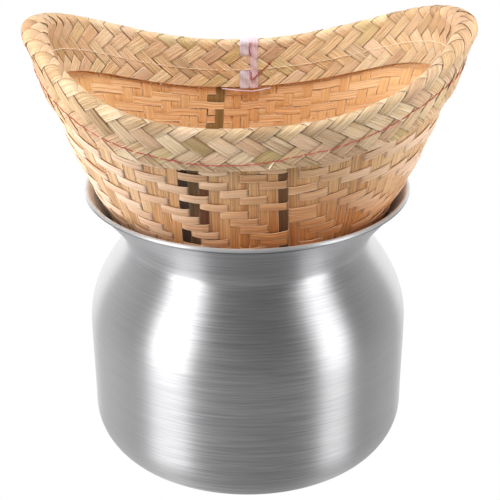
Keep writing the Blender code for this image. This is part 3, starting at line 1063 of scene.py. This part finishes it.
# %% [markdown]
# ## Thread
# A thread is a curve with a round bevel, turned into a mesh. A fine noise stands for its twist.

# %% A thread
THREAD_RADIUS = 0.00028
SMOOTH_THREAD = math.radians(60)


def cotton(name, dark, pale):
    finish = Finish(name, Specular_IOR_Level=0.2)
    twist = finish.noise(finish.place(), 2600.0)
    colour = finish.ramp(twist, (0.35, dark), (0.65, pale))
    finish.dress(colour, 0.75 + 0.1 * twist, twist, 0.0002)
    return finish


def add_tube(name, lines, radius):
    """Tubes along lists of points, as one mesh."""
    curve = bpy.data.curves.new(name, "CURVE")
    curve.dimensions = "3D"
    curve.bevel_depth = radius
    curve.bevel_resolution = 1
    curve.use_fill_caps = True
    for line in lines:
        spline = curve.splines.new("POLY")
        spline.points.add(len(line) - 1)
        for slot, point in zip(spline.points, line):
            slot.co = (*point, 1)
    tube = bpy.data.objects.new(name, curve)
    bpy.context.scene.collection.objects.link(tube)
    deselect()
    tube.select_set(True)
    bpy.context.view_layer.objects.active = tube
    bpy.ops.object.convert(target="MESH")
    tube = bpy.context.object
    bpy.ops.object.mode_set(mode="EDIT")
    bpy.ops.mesh.select_all(action="SELECT")
    bpy.ops.mesh.remove_doubles(threshold=0.00001)
    bpy.ops.mesh.normals_make_consistent(inside=False)
    bpy.ops.object.mode_set(mode="OBJECT")
    bpy.ops.object.shade_smooth_by_angle(angle=SMOOTH_THREAD)
    print(name, len(tube.data.polygons), "faces")
    return tube


red_cotton = cotton("red_cotton", rgb(140, 30, 34), rgb(218, 112, 104))
pale_cotton = cotton("pale_cotton", rgb(232, 204, 170), rgb(255, 244, 226))

# %% [markdown]
# ## Stitches
# The braid is sewn on with a running stitch, red outside and pale inside. Each stitch is a short arch
# whose ends sink into the braid. In front the red thread wanders, so its course is written as shares of
# the leaf, at lengths along the rim from the front's middle. One loose end sticks out there.

# %% Stitches
STITCH_PITCH = 0.0085
STITCH_WOBBLE = 0.0007
STITCH_FOOT = 0.0005
STITCH_ARCH = 0.0008
OUTER_COURSE = (
    (-0.39, 0.70), (-0.17, 0.72), (-0.105, 0.745), (-0.063, 0.775), (-0.029, 0.85),
    (0.0, 0.845), (0.018, 0.79), (0.033, 0.72), (0.048, 0.70), (0.082, 0.625),
    (0.115, 0.56), (0.14, 0.575), (0.18, 0.70), (0.39, 0.70),
)
INNER_COURSE = ((-0.39, 0.64), (0.39, 0.64))


def stitch_lines(course, inside):
    lengths, shares = np.array(course).T
    count = round(RIM_LENGTH / STITCH_PITCH)
    sign = 1 if inside else -1
    s = np.linspace(0, 1, 7)
    lines = []
    for number in range(count):
        places = number * RIM_LENGTH / count + s * (RIM_LENGTH / count * random.uniform(0.98, 1.12))
        angle = rim_angle(places)
        shift = random.uniform(-STITCH_WOBBLE, STITCH_WOBBLE)
        from_front = (places + RIM_LENGTH / 2) % RIM_LENGTH - RIM_LENGTH / 2
        share = np.interp(from_front, lengths, shares)
        distance = sign * leaf_reach(angle, np.full(len(s), inside)) * share + shift * (s * 2 - 1)
        lines.append(braid_point(angle, distance, STITCH_FOOT + STITCH_ARCH * np.sin(np.pi * s) ** 0.5))
    return lines


def loose_end():
    """The end of the thread, which sticks out of the outer leaf a little right of the front's middle."""
    s = np.linspace(0, 1, 8)
    angle = rim_angle(0.0150 - 0.0030 * s)
    distance = leaf_reach(angle, np.full(len(s), False)) * (-0.81 - 0.13 * s)
    return braid_point(angle, distance, 0.0012 + 0.0010 * s)


red_stitches = add_tube("red_stitches", stitch_lines(OUTER_COURSE, False), THREAD_RADIUS)
finish_piece(red_stitches, red_cotton, "basket", "thread_red", "stitch_thread_outer")
pale_stitches = add_tube("pale_stitches", stitch_lines(INNER_COURSE, True), THREAD_RADIUS)
finish_piece(pale_stitches, pale_cotton, "basket", "thread_pale", "stitch_thread_inner")
thread_end = add_tube("thread_end", [loose_end()], THREAD_RADIUS * 1.4)
finish_piece(thread_end, pale_cotton, "basket", "thread_pale")

# %% [markdown]
# ## The tie
# At the middle of the back two bands of split packing film hold the braid's ends together, one almost
# white and one pink. Film is thin and lets light through, so its finish is a little transparent, with
# long streaks. The pale band passes under one strip of the inner leaf.

# %% Bands of the tie
BACK_LENGTH = float(np.interp(math.pi, RIM_ANGLES, CROWN_LENGTHS))
BAND_SIZE = (0.066, 0.006)
BAND_TONE = 0.3
BAND_THICKNESS = 0.00025
BAND_OVERHANG = 0.0012
BAND_LIFT = 0.0012
BAND_RIPPLE = 0.0002
BAND_PINCH = 0.12
TUCK_SINK = 0.0014
TUCK_PLACE = 0.0185
TUCK_REACH = 0.0062


def film(name, pale, deep, alpha):
    finish = Finish(name, Alpha=alpha, Specular_IOR_Level=0.5)
    u, v, _ = finish.on_strip()
    streaks = finish.noise((u * 40, v * 2200, 0.0))
    colour = finish.ramp(streaks, (0.35, deep), (0.6, pale))
    finish.dress(colour, 0.25 + 0.2 * streaks, streaks, 0.0002)
    return finish


def add_band(node, finish, middle, half, tucked):
    """A band of film over the rim, at a length past the back's middle."""
    behind = np.array([math.pi])
    reach_in = leaf_reach(behind, np.array([True]))[0] + BAND_OVERHANG
    reach_out = leaf_reach(behind, np.array([False]))[0] + BAND_OVERHANG

    def place(s, c):
        distance = -reach_out + (reach_in + reach_out) * s
        pinch = 1 + BAND_PINCH * np.sin(distance * 260)
        angle = rim_angle(BACK_LENGTH + middle + c * half * pinch)
        hidden = smoothstep(1.25 - np.abs(distance - TUCK_PLACE) / TUCK_REACH) * tucked
        lift = BAND_LIFT + BAND_RIPPLE * np.sin(distance * 700 + c * 2) - TUCK_SINK * hidden
        return braid_point(angle, distance, lift)

    def lay(grid, tone):
        return lay_strip(grid, place, tone, BAND_SIZE)

    band = make_piece(node.replace("rim_", ""), (90, 6), lay, [BAND_TONE], BAND_THICKNESS)
    finish_piece(band, finish, "basket", "tape_pink", node)


white_film = film("white_film", rgb(232, 224, 234), rgb(214, 200, 212), 0.94)
pink_film = film("pink_film", rgb(244, 226, 232), rgb(226, 190, 204), 0.84)
add_band("rim_tie_band_left", white_film, 0.0036, 0.0033, 1.0)
add_band("rim_tie_band_right", pink_film, -0.0033, 0.0030, 0.0)

# %% [markdown]
# ## The thread of the tie
# A tick of red thread lies over the two bands, and a strand of film has come loose below them. Both
# are lines through a few given points.

# %% Thread and strand of the tie
TICK = (
    (0.0012, 0.0248, 0.0018), (0.0014, 0.0318, 0.0020),
    (0.0076, 0.0262, 0.0017), (0.0158, 0.0190, 0.0010),
)
KNOT = (
    (0.0006, 0.0030, 0.0018), (0.0002, 0.0060, 0.0018),
    (0.0000, 0.0100, 0.0018), (0.0008, 0.0130, 0.0014),
)
STRAND = (
    (-0.0205, 0.0378, 0.0006), (-0.0080, 0.0392, 0.0010),
    (0.0020, 0.0402, 0.0014), (0.0160, 0.0388, 0.0006),
)
TICK_RADIUS = 0.00036
STRAND_RADIUS = 0.00055


def tie_point(right, down, lift):
    """A point on the inner leaf near the tie, in metres to the right of it and below the crown."""
    angle = rim_angle(np.array([BACK_LENGTH - right]))
    return braid_point(angle, np.array([down]), np.array([lift]))[0]


def thread_through(points, count=14):
    """A line of so many points through a few chosen ones (right, down, lift)."""
    points = np.array(points, float)
    where = np.linspace(0, len(points) - 1, count)
    rounded = [np.interp(where, range(len(points)), points[:, k]) for k in range(3)]
    return [tie_point(*values) for values in zip(*rounded)]


tie_tick = add_tube("tie_tick", [thread_through(TICK), thread_through(KNOT)], TICK_RADIUS)
finish_piece(tie_tick, red_cotton, "basket", "thread_red", "rim_tie_thread")
loose_strand = add_tube("loose_strand", [thread_through(STRAND, 20)], STRAND_RADIUS)
finish_piece(loose_strand, pink_film, "basket", "tape_pink")

# %% [markdown]
# ## The section of the pot
# The pot is turned from one disc of aluminium, so its whole shape is in its section: up the outside
# over foot, belly, neck and flare, round the rolled bead at the lip and down the inside, one sheet's
# thickness away.

# %% Section of the pot
POT_SHEET = 0.001
POT_HEIGHT = 0.205
POT_RIM_RADIUS = 0.115
POT_BEAD_RADIUS = 0.0016
POT_BELLY_RADIUS = 0.1142
POT_BELLY_HEIGHT = 0.103
POT_WALL_FOOT_RADIUS = 0.113
POT_CORNER_RADIUS = 0.0365
POT_SHOULDER_PULL = 0.034
POT_FLARE_LEAN = math.radians(36)
POT_NECK_DROP = 0.038
POT_LIP = (POT_RIM_RADIUS - POT_BEAD_RADIUS, POT_HEIGHT - POT_BEAD_RADIUS)
FLOOR_RADII = (0.002, 0.02, 0.04, 0.06)


def arc(centre, radius, start, end, count):
    turns = np.radians(np.linspace(start, end, count + 1))
    return [(centre[0] + radius * math.cos(t), centre[1] + radius * math.sin(t)) for t in turns]


def bezier(points, count):
    """Points on a cubic curve, without its first one."""
    t = np.linspace(0, 1, count + 1)[1:, None]
    a, b, c, d = np.array(points)
    s = 1 - t
    return [tuple(p) for p in s**3 * a + 3 * s * s * t * b + 3 * s * t * t * c + t**3 * d]


def pot_side():
    """The outside from the edge of the flat base up to the bead."""
    corner_centre = (POT_WALL_FOOT_RADIUS - POT_CORNER_RADIUS, POT_CORNER_RADIUS)
    corner = arc(corner_centre, POT_CORNER_RADIUS, -90, 0, 18)
    belly = (POT_BELLY_RADIUS, POT_BELLY_HEIGHT)
    third = (POT_BELLY_HEIGHT - POT_CORNER_RADIUS) / 3
    foot = corner[-1]
    wall = bezier([foot, (foot[0], foot[1] + third), (belly[0], belly[1] - third), belly], 8)
    neck = (NECK_RADIUS, NECK_HEIGHT)
    pull = (belly[0], belly[1] + POT_SHOULDER_PULL)
    shoulder = bezier([belly, pull, (neck[0], neck[1] - NECK_FILLET), neck], 22)
    reach = (POT_NECK_DROP - NECK_FILLET) / 2
    lean = (POT_LIP[0] - reach * math.sin(POT_FLARE_LEAN), POT_LIP[1] - reach * math.cos(POT_FLARE_LEAN))
    flare = bezier([neck, (neck[0], neck[1] + NECK_FILLET), lean, POT_LIP], 16)
    return corner + wall + shoulder + flare


def pot_section(side):
    """From the middle of the base, up the outside, round the bead and down the inside."""
    run = unit(np.gradient(np.array(side), axis=0))
    inside = np.array(side) + POT_SHEET * np.stack([-run[:, 1], run[:, 0]], -1)
    bead = arc(POT_LIP, POT_BEAD_RADIUS, -80, 150, 12)
    floor = [(r, 0.0) for r in FLOOR_RADII]
    inner_floor = [(r, POT_SHEET) for r in reversed(FLOOR_RADII)]
    return floor + side[:-1] + bead + [tuple(p) for p in inside[-2::-1]] + inner_floor


side_line = pot_side()
section = pot_section(side_line)
print("the pot's section has", len(section), "points")

# %% [markdown]
# ## Turning the pot
# The way to model it is the way a potter works: start with a small disc, and pull its rim outwards and
# up, ring by ring, along the section. Each ring is an extrusion of the last, scaled to its radius.

# %% Turning the pot
POT_SIDES = 160
SMOOTH_POT = math.radians(50)


def turn_pot(section):
    radius, height = section[0]
    deselect()
    disc = {"vertices": POT_SIDES, "radius": radius, "fill_type": "NGON"}
    bpy.ops.mesh.primitive_circle_add(location=(0, 0, height), **disc)
    pot = bpy.context.object
    pot.name = "spun_pot"
    bpy.ops.object.mode_set(mode="EDIT")
    bpy.ops.mesh.select_mode(type="FACE")
    bpy.ops.mesh.select_all(action="SELECT")
    for next_radius, next_height in section[1:]:
        bpy.ops.mesh.extrude_region_move(TRANSFORM_OT_translate={"value": (0, 0, next_height - height)})
        grow = next_radius / radius
        bpy.ops.transform.resize(value=(grow, grow, 1), center_override=(0, 0, next_height))
        radius, height = next_radius, next_height
    bpy.ops.mesh.select_all(action="SELECT")
    bpy.ops.mesh.normals_make_consistent(inside=False)
    bpy.ops.object.mode_set(mode="OBJECT")
    bpy.ops.object.transform_apply(location=True, rotation=True, scale=True)
    bpy.ops.object.shade_smooth_by_angle(angle=SMOOTH_POT)
    print("spun_pot", len(pot.data.polygons), "faces")
    return pot


def mark_pot(pot, side):
    """Notes how far up the section a point is, and whether it is on the inside."""
    points = points_of(pot.data)
    radius = np.linalg.norm(points[:, :2], axis=1)
    height = points[:, 2]
    side = np.array(side)
    lengths = np.concatenate([[0], np.cumsum(np.linalg.norm(np.diff(side, axis=0), axis=1))])
    on_base = (height < POT_SHEET * 1.5) & (radius < side[0, 0])
    run = np.where(on_base, radius, side[0, 0] + np.interp(height, side[:, 1], lengths))
    sheet_middle = np.interp(height, side[:, 1], side[:, 0]) - POT_SHEET / 2
    note(pot.data, {"run": run, "inner": (radius < sheet_middle) & (height > POT_SHEET / 2)})


spun_pot = turn_pot(section)
mark_pot(spun_pot, side_line)

# %% [markdown]
# ## Spun aluminium
# A cloth or an abrasive pad held against the turning pot leaves fine rings round it. The rings scatter
# light up and down but hardly sideways, so a lamp shows as a tall bright streak. That is what the
# shader's anisotropy does, and a noise stretched round the pot adds the rings one can see. The inside is
# duller, most of all below the lip, and the crease under the bead is painted dark, a painted shade.

# %% Aluminium finish
POLISHED_ASIDE = (0.04, 0.08)
DULL_NECK = (0.150, 0.180)
DULL_LIP = (0.188, 0.201)
DULLNESS = 0.45
BEAD_TOP = (POT_HEIGHT - 0.0023, POT_LIP[1])
CREASE_FOOT = (POT_HEIGHT - 0.0052, POT_HEIGHT - 0.0047)
CREASE_TOP = (POT_HEIGHT - 0.0028, POT_HEIGHT - 0.0023)
CREASE_RISE = 0.0012
RISE_ASIDE = (0.06, 0.10)
SKIN_HEIGHT = POT_HEIGHT - 0.004
SKIN_REACH = (0.1109, 0.1112)


def painted_crease_shade(finish, aside, z, radius):
    """A narrow ring of painted shade on the outside, a little higher towards the sides."""
    top = z - finish.clamped(aside, *RISE_ASIDE) * CREASE_RISE
    band = finish.clamped(z, *CREASE_FOOT) * (1 - finish.clamped(top, *CREASE_TOP))
    from_flare = radius - (z - SKIN_HEIGHT) * math.tan(POT_FLARE_LEAN)
    return band * finish.clamped(from_flare, *SKIN_REACH)


def spun_aluminium():
    finish = Finish("spun_aluminium", Metallic=1.0, Anisotropic=0.85, Anisotropic_Rotation=0.25)
    x, y, z = finish.parts(finish.place())
    radius = (x * x + y * y) ** 0.5
    run = finish.attribute("run")
    inner = finish.attribute("inner")
    rings = finish.noise((x * 22, y * 22, run * 1300))
    crossed = finish.noise((x * 30, y * 30, (run + x * 0.05 + y * 0.05) * 1000))
    bands = finish.noise((x * 9, y * 9, run * 320))
    rings = finish.clamped(rings, 0.36, 0.64)
    crossed = finish.clamped(crossed, 0.4, 0.66)
    shade = rings * 0.65 + crossed * 0.28 + finish.clamped(bands, 0.3, 0.7) * 0.07
    aside = x.math("ABSOLUTE")
    polished = finish.clamped(aside, *POLISHED_ASIDE) * 0.75
    shade = shade * (1 - polished) + polished * 0.5
    dull = inner * (finish.clamped(z, *DULL_NECK) * DULLNESS + finish.clamped(z, *DULL_LIP) * DULLNESS)
    colour = finish.wash(
        finish.ramp(shade, (0.1, rgb(196, 196, 198)), (0.9, rgb(226, 226, 227))),
        # painted shade in the crease under the bead
        (painted_crease_shade(finish, aside, z, radius) * 0.8, rgb(70, 74, 80)),
        (dull, rgb(232, 234, 240)),
    )
    matt = dull.math("MAXIMUM", finish.clamped(z, *BEAD_TOP) * 0.2)
    finish.dress(colour, 0.40 + 0.02 * shade + 0.15 * matt, rings * 0.6 + crossed * 0.4, 0.0000004)
    finish.put(finish.surface, {"Metallic": 1 - matt})
    return finish


finish_piece(spun_pot, spun_aluminium(), "pot", "aluminium", "pot_body")

# %% [markdown]
# ## Floor
# The photograph is on plain white. The camera sees the floor as pure white, while its own light grey
# brightens the object from below.

# %% Floor
FLOOR_DROP = 0.0006


def show_white(finish):
    """The camera sees the finish as pure white, and other rays see it as it is."""
    glow = finish.node("ShaderNodeEmission", {}, {"Color": WHITE, "Strength": 1.0})
    surface = Field(finish, finish.surface.outputs[0])
    shown = finish.for_rays("Is Camera Ray", surface, glow)
    finish.put(finish.nodes["Material Output"], {"Surface": shown})


def add_floor():
    deselect()
    bpy.ops.mesh.primitive_plane_add(size=12, location=(0, 0, -FLOOR_DROP))
    floor = bpy.context.object
    floor.name = "floor"
    finish = Finish("floor_white", Roughness=0.9, Specular_IOR_Level=0.0)
    mottle = finish.noise(finish.place(), 3.0)
    colour = finish.ramp(mottle, (0.3, rgb(176, 176, 176)), (0.7, rgb(182, 182, 182)))
    finish.put(finish.surface, {"Base Color": colour})
    show_white(finish)
    floor.data.materials.append(finish.material)
    floor.visible_glossy = False
    floor.visible_shadow = False


add_floor()

# %% [markdown]
# ## Lamps
# Two tall soft lamps in front give the pot its two streaks. Two smaller ones at the sides and one above
# light the basket, and don't show in the metal.

# %% Lamps
LAMP_AIM = 0.15


def add_lamp(name, azimuth, elevation, distance, width, height, power, mirrored=True):
    """A soft lamp. Azimuth 0 is the camera's side, and it grows to the right."""
    data = bpy.data.lights.new(name, "AREA")
    data.shape = "RECTANGLE"
    data.size = width
    data.size_y = height
    data.energy = power
    lamp = bpy.data.objects.new(name, data)
    lamp.visible_glossy = mirrored
    bpy.context.scene.collection.objects.link(lamp)
    turn, rise = math.radians(azimuth), math.radians(elevation)
    flat = distance * math.cos(rise)
    up = LAMP_AIM + distance * math.sin(rise)
    place = Matrix.Translation((flat * math.sin(turn), -flat * math.cos(turn), up))
    tilt = Matrix.Rotation(math.radians(90) - rise, 4, "X")
    lamp.matrix_world = place @ Matrix.Rotation(turn, 4, "Z") @ tilt
    print(name, power, "W")


add_lamp("left_lamp", -55, 12, 1.7, 0.95, 2.6, 20)
add_lamp("right_lamp", 61, 12, 1.7, 0.70, 2.6, 13)
add_lamp("left_side_lamp", -88, 10, 1.7, 0.5, 0.9, 30, mirrored=False)
add_lamp("right_side_lamp", 92, 10, 1.7, 0.5, 0.9, 22, mirrored=False)
add_lamp("top_lamp", -8, 76, 1.6, 0.6, 0.6, 20, mirrored=False)

# %% [markdown]
# ## The room in the metal
# The world is plain white to the camera and an even grey to the basket, but in the metal's reflections
# it is a room: lightest low behind the pot, darker towards the camera and overhead.

# %% World
PLAIN_STRENGTH = 0.22


def spread(studio, part, reach, values):
    """A number that goes smoothly from one value to the other over a reach of a direction's part."""
    inputs = dict(enumerate((part, *reach, *values)))
    return studio.node("ShaderNodeMapRange", {"interpolation_type": "SMOOTHSTEP"}, inputs)


def add_world():
    world = bpy.data.worlds.new("studio")
    bpy.context.scene.world = world
    world.use_nodes = True
    studio = Network(world.node_tree)
    x, y, z = studio.parts(studio.node("ShaderNodeTexCoord", {}, {}, "Generated"))
    room = spread(studio, y, (-0.45, 0.60), (0.27, 0.60))
    side = spread(studio, x, (-1.0, 1.0), (0.04, -0.10))
    backdrop = spread(studio, y, (0.60, 0.78), (0.0, 0.75))
    horizon = spread(studio, z, (-0.55, -0.20), (0.0, 1.0))
    table = spread(studio, z, (-0.90, -0.50), (0.045, 0.105))
    ceiling = spread(studio, z, (-0.35, 0.15), (0.0, -0.17))
    strength = room + side + backdrop * horizon + table + ceiling
    mirrored = studio.node("ShaderNodeBackground", {}, {"Color": WHITE, "Strength": strength})
    white = studio.node("ShaderNodeBackground", {}, {"Color": WHITE, "Strength": 1.0})
    plain = studio.nodes["Background"]
    studio.put(plain, {"Color": WHITE, "Strength": PLAIN_STRENGTH})
    lit = studio.for_rays("Is Glossy Ray", Field(studio, plain.outputs[0]), mirrored)
    shown = studio.for_rays("Is Camera Ray", lit, white)
    studio.put(studio.nodes["World Output"], {"Surface": shown})


add_world()
bpy.context.scene.view_settings.view_transform = "Standard"
